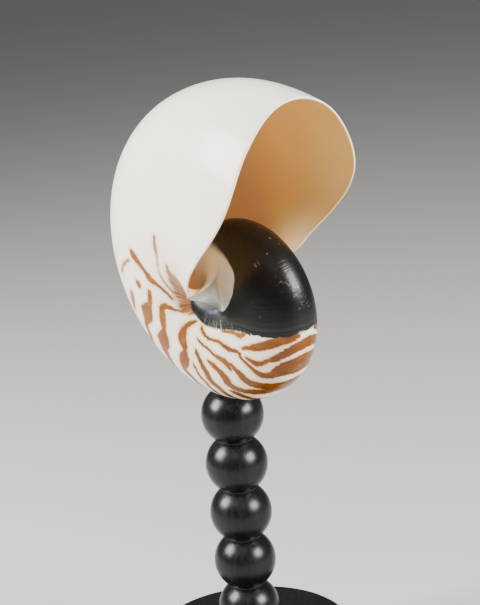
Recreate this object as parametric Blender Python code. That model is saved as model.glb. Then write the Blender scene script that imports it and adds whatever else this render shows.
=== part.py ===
"""A whole nautilus shell, mouth to the upper right, on a column of turned black
beads with a round base.

Metres, +Z up. The origin is the middle of the base's underside, on the column's
axis. -Y is the front and +X is to the right.

The shell is worked out round its own coil axis, Y, in shares of the mouth
radius. It grows in its own XZ plane: the mouth is at an angle of about 0, and
angles fall going back into the coil. One side is built and then mirrored.
"""

import math

import bmesh
import bpy
import numpy as np
from mathutils import Euler, Matrix, Vector

TURN = 2.0 * math.pi

# Shell
MOUTH_RADIUS = 0.110            # metres, coil axis to the outer edge of the mouth
GROWTH = 0.1735                 # for each radian: three-fold in a turn
LIP_WALL = 0.0012               # metres
DEEP_WALL = 0.0022              # metres, the wall well inside the chamber
WALL_RUN = math.radians(40.0)   # how far back the wall reaches that thickness
LIP_EDGE = math.radians(0.6)
CHAMBER_ANGLE = math.radians(132.0)
SEPTUM_DEPTH = math.radians(20.0)

# Half of the whorl's cross section, as curve points: distance from the coil
# axis, then from the mid plane, as shares of the whorl's radius
KEEL_TO_WIDEST = ((1.0, 0.0), (1.0, 0.351), (0.498, 0.401), (0.386, 0.401))
WIDEST_TO_NAVEL = ((0.386, 0.401), (0.186, 0.401), (0.046, 0.302), (0.046, 0.302))

# Angle of the lip at places on the cross section, from the keel to the plug
LIP_PLACES = (0.0, 0.16, 0.33, 0.50, 0.68, 0.84, 0.90)
LIP_DEGREES = (-2.6, 1.6, 10.0, 10.0, 4.9, -2.2, -14.0)

# Plug that closes the coil's navel, and the callus that runs from it
PLUG_RADIUS = 0.050
PLUG_HEIGHT = 0.303
PLUG_MIDDLE = 0.225
CALLUS_SPREAD = 0.024
CALLUS_WIDENING = 0.030
CALLUS_RUN = math.radians(135.0)    # how far it runs on in front of the mouth
CALLUS_FADE = math.radians(28.0)    # how fast it sinks inside the chamber
CALLUS_SWELL = 0.035                # how much wider it is there
CALLUS_EASE = 4                     # keeps it off the flank near the keel

# Umbilical corner of the chamber
CORNER_FROM = 0.130
CORNER_HANDLES = ((0.050, 0.300), (0.045, 0.200))
CORNER_TO = 0.330
CORNER_BLEND = math.radians(45.0)
CREST_DROP = 0.006

# Facets of the shell
WELD = 1e-7
ROWS = 66
COLUMNS = 13
NAVEL_CROWDING = 1.3            # columns lie closer together towards the navel
LIP_CROWDING = 1.25             # chamber rows lie closer together towards the lip
CORNER_COLUMNS = 3
CHAMBER_ROWS = 22
PLUG_RINGS = 2
SEPTUM_STEPS = 4

# How the shell stands
SHELL_TURN = Euler((math.radians(-170.85), math.radians(-57.73), math.radians(-56.76)))
COIL_OVER_TOP_BEAD = Vector((0.0087, -0.0202, 0.0712))

# Stand, metres
BEADS = 5
BEAD_RADIUS = 0.0157
BEAD_PITCH = 0.0263
NECK_RADIUS = 0.0090
BEAD_ARC_STEPS = 7
COLUMN_SIDES = 32
PEG_RADIUS = 0.0060
PEG_DEPTH = 0.0080
BASE_RADIUS = 0.0520
BASE_HEIGHT = 0.0180
BASE_ROUNDING = 0.0030
BASE_SIDES = 64
ROUNDING_STEPS = 4
EDGE_EASE = 0.0008
GAP = 0.0003
TOP_BEAD_HEIGHT = BASE_HEIGHT + GAP + BEAD_PITCH * (BEADS - 0.5)


def curve_point(points, t):
    """Point and direction of a cubic curve at t from 0 to 1."""
    a, b, c, d = (np.array(point) for point in points)
    t = np.asarray(t, dtype=float)[..., None]
    s = 1.0 - t
    place = s**3 * a + 3 * s * s * t * b + 3 * s * t * t * c + t**3 * d
    way = 3 * s * s * (b - a) + 6 * s * t * (c - b) + 3 * t * t * (d - c)
    return place, way


def section(u):
    """Cross section at u from 0 (keel) to 1 (navel), and its inward normal."""
    u = np.asarray(u, dtype=float)
    outer, outer_way = curve_point(KEEL_TO_WIDEST, np.clip(2 * u, 0, 1))
    inner, inner_way = curve_point(WIDEST_TO_NAVEL, np.clip(2 * u - 1, 0, 0.999))
    first_half = (u < 0.5)[..., None]
    place = np.where(first_half, outer, inner)
    way = np.where(first_half, outer_way, inner_way)
    way = way / np.linalg.norm(way, axis=-1, keepdims=True)
    return place, np.stack([-way[..., 1], way[..., 0]], axis=-1)


SAMPLE_U = np.linspace(0.0, 1.0, 2001)
SAMPLE_RADIUS = section(SAMPLE_U)[0][:, 0]


def place_at_radius(radius):
    """The place u where the cross section is this far from the coil axis."""
    return np.interp(-np.asarray(radius), -SAMPLE_RADIUS, SAMPLE_U)


def lip_angle(u):
    """Angle of the lip at u, a smooth curve through the places given above."""
    places = np.array(LIP_PLACES)
    angles = np.radians(LIP_DEGREES)
    slopes = np.gradient(angles, places)
    slopes[0] = 0.0
    u = np.clip(u, 0.0, places[-1])
    k = np.clip(np.searchsorted(places, u, side="right") - 1, 0, len(places) - 2)
    width = places[k + 1] - places[k]
    t = (u - places[k]) / width
    rise = 3 * t**2 - 2 * t**3
    return (
        angles[k] * (1 - rise)
        + angles[k + 1] * rise
        + slopes[k] * width * t * (1 - t) ** 2
        + slopes[k + 1] * width * t**2 * (t - 1)
    )


def spiral(angle):
    return np.exp(GROWTH * angle)


def to_space(radius, height, angle):
    return np.stack([radius * np.cos(angle), height, radius * np.sin(angle)], axis=-1)


PLUG_ANGLE = float(lip_angle(np.array(LIP_PLACES[-1])))


def callus_height(radius, angle):
    """How far the callus stands over the flank, and fades to the front and the back."""
    at_plug = section(place_at_radius(PLUG_RADIUS / spiral(angle)))[0][..., 1] * spiral(angle)
    ahead = np.clip((angle - PLUG_ANGLE + TURN) / CALLUS_RUN, 0.0, 1.0)
    lip_side = np.clip((angle - PLUG_ANGLE) / CALLUS_RUN + 1.0, 0.0, 1.0)
    fade = (1 - ahead) ** 2 * (1 + 2 * ahead) + lip_side**3
    behind = np.maximum(PLUG_ANGLE - TURN - angle, 0.0)
    reach = np.maximum(radius - PLUG_RADIUS, 0.0)
    spread = CALLUS_SPREAD + CALLUS_WIDENING * ahead * (1 - lip_side)
    spread = spread + CALLUS_SWELL * np.minimum(behind / CALLUS_FADE, 1.0)
    return (PLUG_HEIGHT - at_plug) * fade * np.exp(-reach / spread - behind / CALLUS_FADE)


def outer_grid(rows, columns):
    """The outside, a whole turn back from the lip: row 0 is under the mouth."""
    share = np.arange(rows + 1)[:, None] / rows
    across = 1.0 - (1.0 - np.arange(columns + 1)[None, :] / columns) ** NAVEL_CROWDING
    base_angle = -TURN * (1.0 - share)
    ring_angle = (base_angle + PLUG_ANGLE) * np.ones_like(across)
    ring_place = place_at_radius(PLUG_RADIUS / spiral(ring_angle))
    u = ring_place * across
    # The lip's own line fades out over the turn
    lead = PLUG_ANGLE * (1.0 - share) + lip_angle(u * LIP_PLACES[-1] / ring_place) * share
    angle = base_angle + lead
    u = np.where(across < 1.0, u, place_at_radius(PLUG_RADIUS / spiral(angle)))
    place = section(u)[0]
    size = spiral(angle)
    radius = place[..., 0] * size
    height = place[..., 1] * size + callus_height(radius, angle) * across**CALLUS_EASE
    height[:, 0] = 0.0
    points = to_space(radius, height, angle)
    points[0, -1] = points[-1, -1] = to_space(PLUG_RADIUS, PLUG_HEIGHT, PLUG_ANGLE)
    return points, u, lead


def chamber_grid(outside, u, lead, rows, corner_columns):
    """The chamber's inside, half a loop for each row, from the lip to the septum.

    A loop runs from the keel of the outer wall along the flank, round the
    umbilical corner and back along the whorl below to that whorl's keel.
    """
    columns = outside.shape[1] - 1
    side = columns - corner_columns
    share = np.arange(rows)[:, None] / (rows - 1)
    depth = LIP_EDGE + (CHAMBER_ANGLE - LIP_EDGE) * share**LIP_CROWDING
    # Flank of the outer wall
    flank_u = place_at_radius(CORNER_FROM) * np.arange(side + 1)[None, :] / side
    flank_lead = lead[-1][None, : side + 1] + 0 * depth
    wall = LIP_WALL + (DEEP_WALL - LIP_WALL) * np.minimum(depth / WALL_RUN, 1.0)
    place, inward = section(flank_u + 0 * depth)
    shallow_place, shallow_inward = section(u[-1][None, : side + 1] + 0 * depth)
    blend = np.clip(depth / CORNER_BLEND, 0.0, 1.0)
    blend = blend * blend * (3 - 2 * blend)
    size = spiral(flank_lead - depth)
    deep = place * size[..., None] + inward * (wall / MOUTH_RADIUS)[..., None]
    shallow = shallow_place * size[..., None]
    shallow = shallow + shallow_inward * (wall / MOUTH_RADIUS)[..., None]
    flank = shallow * (1 - blend[..., None]) + deep * blend[..., None]
    flank[:, 0, 1] = 0.0
    flank = to_space(flank[..., 0], flank[..., 1], flank_lead - depth)
    # Whorl below
    floor_angle = PLUG_ANGLE - TURN - depth
    floor_size = spiral(floor_angle)
    floor_u = place_at_radius(CORNER_TO) * np.arange(side, -1, -1)[None, :] / side
    shallow_u = u[0][None, side::-1]
    floor_place = section(floor_u * blend + shallow_u * (1 - blend))[0]
    floor_radius = floor_place[..., 0] * floor_size
    floor_height = floor_place[..., 1] * floor_size + callus_height(floor_radius, floor_angle)
    floor_height[:, -1] = 0.0
    floor = to_space(floor_radius, floor_height, floor_angle)
    # Corner between them
    steps = 2 * corner_columns
    t = (np.arange(1, steps) / steps)[None, :]
    corner_angle = PLUG_ANGLE - depth
    start = np.stack([np.hypot(flank[:, -1, 0], flank[:, -1, 2]), flank[:, -1, 1]], axis=-1)
    start_angle = flank_lead[:, -1:] - depth
    finish = np.stack([floor_radius[:, 0], floor_height[:, 0]], axis=-1)
    shrink = spiral(corner_angle)
    handles = np.array(CORNER_HANDLES)[None] * shrink[..., None]
    crest = np.array([[PLUG_RADIUS, PLUG_HEIGHT - CREST_DROP]]) * shrink
    top = crest * (1 - blend) + handles[:, 0] * blend
    foot = crest * (1 - blend) + handles[:, 1] * blend
    weights = [(1 - t) ** 3, 3 * (1 - t) ** 2 * t, 3 * (1 - t) * t**2, t**3]
    corner = sum(
        weight[..., None] * point[:, None, :]
        for weight, point in zip(weights, (start, top, foot, finish))
    )
    turn = start_angle * (1 - t) ** 2 + corner_angle * (1 - (1 - t) ** 2)
    corner = to_space(corner[..., 0], corner[..., 1], turn)
    return np.concatenate([flank, corner, floor], axis=1)


def septum_grid(loop, steps):
    """Hollow wall across the end of the chamber, from its last half loop."""
    half = (len(loop) - 1) // 2
    near = loop[: half + 1, None, :]
    far = loop[::-1][: half + 1, None, :]
    t = np.linspace(0.0, 1.0, steps + 1)[None, :, None]
    grid = near * (1 - t) + far * t
    across = np.arange(half + 1)[:, None] / half
    back = -SEPTUM_DEPTH * 4.0 * t[..., 0] * (1 - t[..., 0]) * (1 - across**2)
    x, y, z = np.moveaxis(grid, -1, 0) * spiral(back)
    return np.stack(
        [x * np.cos(back) - z * np.sin(back), y, x * np.sin(back) + z * np.cos(back)],
        axis=-1,
    )


def add_grid(points, faces, grid):
    """Add a grid of points and its faces, and return the points' numbers."""
    rows, columns = grid.shape[:2]
    numbers = len(points) + np.arange(rows * columns).reshape(rows, columns)
    points.extend(grid.reshape(-1, 3))
    for i in range(rows - 1):
        for j in range(columns - 1):
            faces.append(
                (numbers[i, j], numbers[i, j + 1], numbers[i + 1, j + 1], numbers[i + 1, j])
            )


def shell_half(rows, columns, corner_columns, chamber_rows, plug_rings, septum_steps):
    """Points, in shares of the mouth radius, and faces of the side y >= 0."""
    outside, u, lead = outer_grid(rows, columns)
    lip = np.concatenate([outside[-1], outside[0][-2::-1]])
    inside = chamber_grid(outside, u, lead, chamber_rows, corner_columns)
    chamber = np.concatenate([lip[None], inside])
    points = []
    faces = []
    add_grid(points, faces, outside)
    add_grid(points, faces, chamber)
    add_grid(points, faces, septum_grid(inside[-1], septum_steps))
    ring = outside[:, -1]
    middle = np.array([0.0, PLUG_MIDDLE, 0.0])
    share = (np.arange(plug_rings + 1) / plug_rings)[None, :, None]
    add_grid(points, faces, ring[:, None, :] * (1 - share) + middle * share)
    return np.array(points), faces


def new_object(name, mesh):
    thing = bpy.data.objects.new(name, mesh)
    bpy.context.scene.collection.objects.link(thing)
    return thing


def paint(thing, name, colour, roughness, metallic=0.0):
    """Give an object its one plain material."""
    material = bpy.data.materials.new(name)
    material.use_nodes = True
    shader = material.node_tree.nodes["Principled BSDF"]
    shader.inputs["Base Color"].default_value = (*colour, 1.0)
    shader.inputs["Roughness"].default_value = roughness
    shader.inputs["Metallic"].default_value = metallic
    material.diffuse_color = (*colour, 1.0)
    thing.data.materials.append(material)


def shell_mesh(name, grow=0.0):
    """Closed mesh of the whole shell in place, or one a little fatter."""
    points, faces = shell_half(
        ROWS, COLUMNS, CORNER_COLUMNS, CHAMBER_ROWS, PLUG_RINGS, SEPTUM_STEPS
    )
    mirrored = points * np.array([1.0, -1.0, 1.0])
    count = len(points)
    every_face = [tuple(int(k) for k in face) for face in faces]
    every_face += [tuple(int(k) + count for k in reversed(face)) for face in faces]
    mesh = bpy.data.meshes.new(name)
    mesh.from_pydata(np.concatenate([points, mirrored]).tolist(), [], every_face)
    edit = bmesh.new()
    edit.from_mesh(mesh)
    bmesh.ops.remove_doubles(edit, verts=edit.verts, dist=WELD)
    bmesh.ops.dissolve_degenerate(edit, edges=edit.edges, dist=WELD)
    bmesh.ops.recalc_face_normals(edit, faces=edit.faces)
    place = Matrix.Translation(COIL_OVER_TOP_BEAD + Vector((0.0, 0.0, TOP_BEAD_HEIGHT)))
    edit.transform(place @ SHELL_TURN.to_matrix().to_4x4() @ Matrix.Scale(MOUTH_RADIUS, 4))
    edit.normal_update()
    if grow:
        moves = [vert.normal * grow for vert in edit.verts]
        for vert, move in zip(edit.verts, moves):
            vert.co += move
    for face in edit.faces:
        face.smooth = True
    edit.to_mesh(mesh)
    edit.free()
    return mesh


def turned_mesh(name, profile, sides):
    """Closed mesh turned round Z from (radius, height) points, bottom to top."""
    edit = bmesh.new()
    rings = []
    for radius, height in profile:
        if radius == 0.0:
            rings.append([edit.verts.new((0.0, 0.0, height))])
            continue
        ring = []
        for k in range(sides):
            angle = TURN * k / sides
            ring.append(
                edit.verts.new((radius * math.cos(angle), radius * math.sin(angle), height))
            )
        rings.append(ring)
    for low, high in zip(rings, rings[1:]):
        for k in range(sides):
            after = (k + 1) % sides
            if len(low) == 1:
                edit.faces.new((low[0], high[after], high[k]))
            elif len(high) == 1:
                edit.faces.new((low[k], low[after], high[0]))
            else:
                edit.faces.new((low[k], low[after], high[after], high[k]))
    bmesh.ops.recalc_face_normals(edit, faces=edit.faces)
    for face in edit.faces:
        face.smooth = True
    mesh = bpy.data.meshes.new(name)
    edit.to_mesh(mesh)
    edit.free()
    return mesh


def arc(radius_at, height_at, size, first, last, steps):
    """Points of a round arc, its angles measured up from level."""
    return [
        (
            radius_at + size * math.cos(first + (last - first) * k / steps),
            height_at + size * math.sin(first + (last - first) * k / steps),
        )
        for k in range(steps + 1)
    ]


def build_shell():
    shell = new_object("shell", shell_mesh("shell"))
    paint(shell, "shell", (0.90, 0.84, 0.77), 0.25)
    return shell


def build_base():
    top = BASE_HEIGHT - BASE_ROUNDING
    edge = BASE_RADIUS - BASE_ROUNDING
    profile = [(0.0, 0.0), (BASE_RADIUS - EDGE_EASE, 0.0), (BASE_RADIUS, EDGE_EASE)]
    profile += arc(edge, top, BASE_ROUNDING, 0.0, math.pi / 2, ROUNDING_STEPS)
    profile += [(PEG_RADIUS + GAP, BASE_HEIGHT), (PEG_RADIUS + GAP, BASE_HEIGHT - PEG_DEPTH)]
    profile += [(0.0, BASE_HEIGHT - PEG_DEPTH)]
    base = new_object("base", turned_mesh("base", profile, BASE_SIDES))
    paint(base, "base", (0.012, 0.012, 0.013), 0.35)
    return base


def build_column():
    """Turned beads in one piece, with a peg below and a seat cut in the top bead."""
    bottom = BASE_HEIGHT + GAP
    peg_end = BASE_HEIGHT - PEG_DEPTH + GAP
    neck_angle = math.acos(NECK_RADIUS / BEAD_RADIUS)
    profile = [(0.0, peg_end), (PEG_RADIUS, peg_end), (PEG_RADIUS, bottom), (NECK_RADIUS, bottom)]
    for bead in range(BEADS):
        middle = bottom + BEAD_PITCH * (bead + 0.5)
        last = math.pi / 2 if bead == BEADS - 1 else neck_angle
        profile += arc(0.0, middle, BEAD_RADIUS, -neck_angle, last, BEAD_ARC_STEPS)
    profile[-1] = (0.0, profile[-1][1])
    column = new_object("column", turned_mesh("column", profile, COLUMN_SIDES))
    paint(column, "column", (0.012, 0.012, 0.013), 0.30)
    cutter = new_object("seat_cutter", shell_mesh("seat_cutter", grow=GAP))
    cutter.hide_render = True
    cutter.display_type = "WIRE"
    cut = column.modifiers.new("seat", "BOOLEAN")
    cut.operation = "DIFFERENCE"
    cut.solver = "EXACT"
    cut.object = cutter
    return column


def main():
    for thing in list(bpy.data.objects):
        bpy.data.objects.remove(thing, do_unlink=True)
    build_shell()
    build_column()
    build_base()


main()
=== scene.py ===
"""Looks of a whole nautilus shell on a column of turned black beads.

The shell is worked out from the same spiral and cross section as its solid, in
shares of the mouth radius round its own coil axis, Y. An angle of 0 is at the
mouth and angles fall going back into the coil. A place runs from 0 at the keel
to about 0.9 at the plug that closes the navel, and the far side's are mirrored.
"""

import math

import bmesh
import bpy
import numpy as np
from mathutils import Euler, Matrix, Vector
from mathutils.bvhtree import BVHTree


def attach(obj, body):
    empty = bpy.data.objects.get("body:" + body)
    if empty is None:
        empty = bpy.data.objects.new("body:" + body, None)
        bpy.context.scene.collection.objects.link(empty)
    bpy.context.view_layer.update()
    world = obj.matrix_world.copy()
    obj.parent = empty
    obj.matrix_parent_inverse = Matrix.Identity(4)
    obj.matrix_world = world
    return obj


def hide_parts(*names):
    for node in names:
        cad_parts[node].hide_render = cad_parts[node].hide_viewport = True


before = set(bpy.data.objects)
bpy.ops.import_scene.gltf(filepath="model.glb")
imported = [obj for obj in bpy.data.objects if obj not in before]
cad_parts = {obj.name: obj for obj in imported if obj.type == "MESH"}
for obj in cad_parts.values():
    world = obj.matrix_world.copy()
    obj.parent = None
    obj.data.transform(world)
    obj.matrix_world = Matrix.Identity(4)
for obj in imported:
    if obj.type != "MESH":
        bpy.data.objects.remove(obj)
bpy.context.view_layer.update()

TURN = 2.0 * math.pi
MM = 0.001

# Shell, as in its solid
MOUTH_RADIUS = 0.110
GROWTH = 0.1735
LIP_WALL = 0.0012
DEEP_WALL = 0.0022
WALL_RUN = math.radians(40.0)
CHAMBER_ANGLE = math.radians(132.0)
SEPTUM_DEPTH = math.radians(20.0)
KEEL_TO_WIDEST = ((1.0, 0.0), (1.0, 0.351), (0.498, 0.401), (0.386, 0.401))
WIDEST_TO_NAVEL = ((0.386, 0.401), (0.186, 0.401), (0.046, 0.302), (0.046, 0.302))
LIP_PLACES = (0.0, 0.16, 0.33, 0.50, 0.68, 0.84, 0.90)
LIP_DEGREES = (-2.6, 1.6, 10.0, 10.0, 4.9, -2.2, -14.0)
PLUG_RADIUS = 0.050
PLUG_HEIGHT = 0.303
PLUG_MIDDLE = 0.225
CALLUS_SPREAD = 0.024
CALLUS_WIDENING = 0.030
CALLUS_RUN = math.radians(135.0)
CALLUS_FADE = math.radians(28.0)
CALLUS_SWELL = 0.035
CALLUS_EASE = 4
CORNER_FROM = 0.130
CORNER_HANDLES = ((0.050, 0.300), (0.045, 0.200))
CORNER_TO = 0.330
CORNER_BLEND = math.radians(45.0)
CREST_DROP = 0.006
KEEL_PLACE = 0.02
PAST_NAVEL = 2.0
SHELL_TURN = Euler((math.radians(-170.85), math.radians(-57.73), math.radians(-56.76)))
COIL_OVER_TOP_BEAD = Vector((0.0087, -0.0202, 0.0712))

# How finely the shell is meshed
ROWS = 400
COLUMNS = 84
CORNER_COLUMNS = 10
CHAMBER_ROWS = 62
LIP_ROWS = 4
PLUG_RINGS = 4
SEPTUM_STEPS = 10
FLOOR_STEP = math.radians(0.25)
NAVEL_CROWDING = 1.3
LIP_CROWDING = 1.25

# Stand, as in its solids
BEADS = 5
BEAD_RADIUS = 0.0157
BEAD_PITCH = 0.0263
NECK_RADIUS = 0.0090
PEG_RADIUS = 0.0060
PEG_DEPTH = 0.0080
BASE_RADIUS = 0.0520
BASE_HEIGHT = 0.0180
BASE_ROUNDING = 0.0030
EDGE_EASE = 0.0008
GAP = 0.0003
TOP_BEAD_HEIGHT = BASE_HEIGHT + GAP + BEAD_PITCH * (BEADS - 0.5)
BEAD_ARC_STEPS = 44
COLUMN_SIDES = 96
BASE_SIDES = 160
SHARP_EDGE = math.radians(50.0)
# Points this close are one: on the shell before it is scaled, and on the stand
SHARE_TOUCH = 1e-7
METRE_TOUCH = 1e-6

# View, in the coil's own place: the camera looks level along +Y, then is tipped
# down and rolled
COIL_CENTRE = COIL_OVER_TOP_BEAD + Vector((0.0, 0.0, TOP_BEAD_HEIGHT))
CAMERA_FROM_COIL = Vector((-0.0002, -0.7859, 0.2171))
CAMERA_PLACE = COIL_CENTRE + CAMERA_FROM_COIL
CAMERA_TIP = math.radians(16.0)
CAMERA_ROLL = math.radians(4.9)
CAMERA_LENS = 101.75
SENSOR_WIDTH = 36.0
PICTURE_WIDTH = 480.0
PICTURE_HEIGHT = 605.0
CAMERA_REACH = 20.0

# How the place of a pixel on the shell is searched for: angles, places, pixels, metres, and
# steps in radians and shares
SEARCH_ANGLES = np.radians(np.linspace(-430.0, 0.0, 861))
SEARCH_PLACES = np.linspace(0.0, LIP_PLACES[-1], 181)
SEARCH_REACH = 1.5
SEARCH_DEPTH = 0.004
SEARCH_STEPS = 6
LONGEST_STEP = 0.03
SMALL_STEP = 1e-5

# Room: a pale floor, two lamps that shine on the shell's flanks and a wide faint one
FLOOR_HALF_SIDE = 12.0
FLOOR_PALE = (0.50, 0.49, 0.47)
FLOOR_ROUGHNESS = 0.7
WARM_LIGHT = (1.0, 0.98, 0.95)
COOL_LIGHT = (0.96, 0.98, 1.0)
ROOM_TINT = (0.80, 0.82, 0.86, 1.0)
ROOM_STRENGTH = 0.22

# Brown marks as the picture shows them: each point is a pixel across, a pixel down and a
# width in pixels
THICK_FLAME = ((132.5, 254, 4.5), (141, 266, 3.3), (146, 273, 3.2), (150, 279, 4.8), (156, 284, 3),
               (162, 289, 2.5), (168, 294.5, 2), (172, 299, 2))
FAINT_LINE = ((155, 243, 1.7), (156, 252, 2), (157, 259, 1), (159, 272, 0.8), (163, 280, 1.5),
              (169, 288, 2), (174, 293, 2))
SHORT_LINE = ((167, 266, 1.5), (169, 274, 2), (173, 281, 2), (176, 286, 2))
DOT = ((138.5, 284, 4), (138.5, 285, 3.5))
KEEL_ARC = ((129, 260, 2.5), (124, 264, 1.5), (122, 272, 1.2))
KEEL_DASH = ((132, 293, 3), (133, 300, 3.3), (134.5, 307, 2.5))
BEADED_FLAME = ((149.5, 292, 3), (150, 300, 3.5), (149, 306, 4.5), (147, 312, 9), (147, 316, 6.5),
                (146.5, 321, 3), (147, 327, 2.7), (150, 334, 3))
HOOKED_FLAME = ((188, 312, 1.2), (176, 310, 2), (170, 308, 3.6), (165, 306, 4.9), (162, 309, 5.4),
                (162.5, 315, 5.3), (163, 322, 4.8), (164, 330, 3), (164, 335, 6), (163.5, 341, 8),
                (164, 346, 5), (166, 352, 3.7), (170, 359, 4), (175, 366, 3.7))
BROAD_FLAME = ((196, 321, 1.2), (191, 323, 4), (186, 327, 5.5), (183, 333, 7), (182.5, 340, 7.5),
               (184, 346, 5), (185, 351, 3.5), (184.5, 357, 7.3), (184, 362, 6.7), (184, 367, 3),
               (187, 372, 3.4), (192, 377, 3))
LONG_CURL = ((201.5, 327, 2), (203, 332, 3), (207, 337.5, 2.6), (213, 340, 2.5), (219, 342, 2.8),
             (224, 346, 3.5), (229, 349, 4), (235, 351, 3.2), (239, 353, 2.5), (241, 358, 2),
             (246, 363, 2.5), (251, 368, 3), (256, 372, 4), (263, 375.5, 5), (272, 375, 6),
             (280, 371.5, 10.5), (288, 368.5, 13))
SLIM_CURL = ((197.5, 339, 1.5), (202, 344, 2), (208, 349, 2), (213, 354, 2.3), (219, 358, 4),
             (225, 362, 4.8), (229, 367, 3.6), (231, 371, 1.5))
SECOND_FLAME = ((196, 350, 1.8), (197.5, 355, 3), (200, 360, 3), (203, 367, 3.8), (206, 372, 3.8),
                (209, 378, 3.7), (213, 383, 3.5), (219, 388, 3.2), (225, 393, 3))
SLIM_FLAME = ((193, 363, 1.2), (196, 369, 1.5), (200, 376, 1.5), (206, 382, 1.8), (210, 387, 2))
THIRD_FLAME = ((208, 361, 1.8), (212, 364, 3.7), (217, 369, 4.2), (221, 373, 5), (225, 378, 5.5),
               (229, 384, 5), (235, 388, 4.2), (243, 391, 3.8), (252, 392, 4.4), (262, 392, 4.4),
               (270, 391, 3.8), (280, 388.5, 3.6))
FOURTH_FLAME = ((231, 364, 2), (235, 369, 3), (240, 374, 5), (244, 379, 5.8), (250, 383, 6),
                (258, 385.5, 6), (268, 386.5, 6), (278, 386, 5.5), (288, 383, 5.3))
LOW_BAND = ((231, 391, 1.5), (238, 394, 3.5), (246, 397, 4), (256, 399, 3.8))
FILM_BAND = ((242, 349, 2), (246, 348, 3.8), (250, 348, 4.8), (258, 347.5, 8), (268, 345, 9),
             (280, 341.5, 9), (290, 339, 7.8), (298, 336, 4.5))
MIDDLE_BAND = ((246, 358, 2), (251, 361, 4), (257, 364, 5), (263, 363, 4.3), (268, 361, 4), (275, 359, 6),
               (283, 355, 7.3), (291, 351, 8), (299, 346.5, 8.5), (307, 342, 8.2))
FILM_FRINGE = ((222, 331, 2), (230, 332, 3), (236, 334, 3), (240, 336, 5), (245, 334, 2))
# Their ends past the keel's outline, and a dash: angle in degrees, place, width in millimetres
BEADED_FLAME_END = ((-155, 0.17, 3.4), (-157, 0.08, 3.0))
HOOKED_FLAME_END = ((-175, 0.09, 3.6),)
BROAD_FLAME_END = ((-190, 0.15, 3.4), (-194, 0.08, 3.0))
LONG_CURL_END = ((-261, 0.04, 11.0), (-262, 0.0, 12.0))
SECOND_FLAME_END = ((-210, 0.10, 3.2), (-212, 0.04, 3.0))
SLIM_FLAME_END = ((-201, 0.12, 2.4), (-203, 0.05, 2.2))
THIRD_FLAME_END = ((-242, 0.0, 4.2),)
FOURTH_FLAME_END = ((-247, 0.0, 6.4),)
LOW_BAND_END = ((-227, 0.0, 4.4),)
TOP_DASH = ((-46, 0.50, 1.4), (-50, 0.53, 2.2), (-55, 0.56, 1.8))
# Where the surface turns away, a pixel of width stands for no more than this, in millimetres
WIDEST_PIXEL = 1.2

# What is seen of each mark, its hidden end, strength, tone (0 orange, 1 umber) and blush (1
# where it is mauve)
MARKS = (
    (THICK_FLAME, (), 1.00, 0.25, 0.0),
    (FAINT_LINE, (), 0.75, 0.30, 0.1),
    ((), TOP_DASH, 0.95, 0.10, 0.0),
    (SHORT_LINE, (), 0.90, 0.45, 0.0),
    (DOT, (), 1.00, 0.15, 0.0),
    (KEEL_ARC, (), 0.85, 0.10, 0.0),
    (KEEL_DASH, (), 0.90, 0.15, 0.0),
    (BEADED_FLAME, BEADED_FLAME_END, 1.00, 0.20, 0.0),
    (HOOKED_FLAME, HOOKED_FLAME_END, 1.00, 0.30, 0.0),
    (BROAD_FLAME, BROAD_FLAME_END, 1.00, 0.40, 0.0),
    (LONG_CURL, LONG_CURL_END, 1.00, 0.60, 0.25),
    (SLIM_CURL, (), 1.00, 0.50, 0.0),
    (SECOND_FLAME, SECOND_FLAME_END, 1.00, 0.55, 0.1),
    (SLIM_FLAME, SLIM_FLAME_END, 1.00, 0.50, 0.0),
    (THIRD_FLAME, THIRD_FLAME_END, 1.00, 0.45, 0.1),
    (FOURTH_FLAME, FOURTH_FLAME_END, 1.00, 0.55, 0.1),
    (LOW_BAND, LOW_BAND_END, 1.00, 0.60, 0.3),
    (FILM_BAND, (), 1.00, 0.50, 0.5),
    (MIDDLE_BAND, (), 1.00, 0.50, 0.8),
    (FILM_FRINGE, (), 0.95, 0.35, 0.0),
)
FAR_SIDE_SHIFT = (1.5, -1.0, 2.0, -2.0, 0.5, 1.0, -1.5)
FINEST_MARK = 0.4
# Distances that stand for no mark and no edge in reach, in millimetres
NO_MARK = -9.0
NO_EDGE = -30.0
# How far round a mark its points are looked for, in shares of the mouth radius
MARK_REACH = 0.09
# Marks lie behind the first of these angles, film and pearl behind the second
MARKS_FROM = math.radians(-15.0)
FILM_FROM = math.radians(-100.0)

# Edge of the black film: its ends by angle in degrees and place, the rest by pixels
FILM_START = ((-123, 0.83),)
FILM_SEEN = ((191, 308), (195, 315), (200, 321), (206, 326), (212, 328), (220, 329.5), (230, 330),
             (240, 332), (250, 335), (260, 337), (270, 338), (280, 337.5), (290, 336.5), (300, 333))
FILM_END = ((-283, 0.0),)
# Edge of the bare pearl round the callus, in the same way
PEARL_START = ((-425, 0.0), (-412, 0.15), (-400, 0.19), (-388, 0.23), (-379, 0.265), (-370, 0.29),
               (-356, 0.33))
PEARL_SEEN = ((234, 272), (234.5, 280.5), (232, 291), (228.5, 301), (225, 308.5))
PEARL_END = ((-268, 0.68), (-242, 0.710), (-215, 0.722), (-200, 0.735), (-176, 0.765),
             (-157, 0.79), (-140, 0.81), (-120, 0.86))
# Pale rib across the callus, with the pearl on its plug side painted a darker, cool grey as shade
PEARL_RIB = ((-372, 0.60), (-344, 0.638), (-325, 0.665), (-307, 0.687), (-288, 0.694), (-268, 0.693),
             (-240, 0.70), (-200, 0.72), (-150, 0.76), (-120, 0.80))
# Where the pearl's edge is a soft veil: angles in degrees and its width in millimetres
VEIL = ((-420, 8.0), (-388, 6.0), (-374, 4.0), (-360, 2.5), (-345, 1.0), (-270, 0.8),
        (-258, 4.0), (-240, 8.0), (-190, 8.0), (-165, 4.0), (-120, 1.5))
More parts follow.
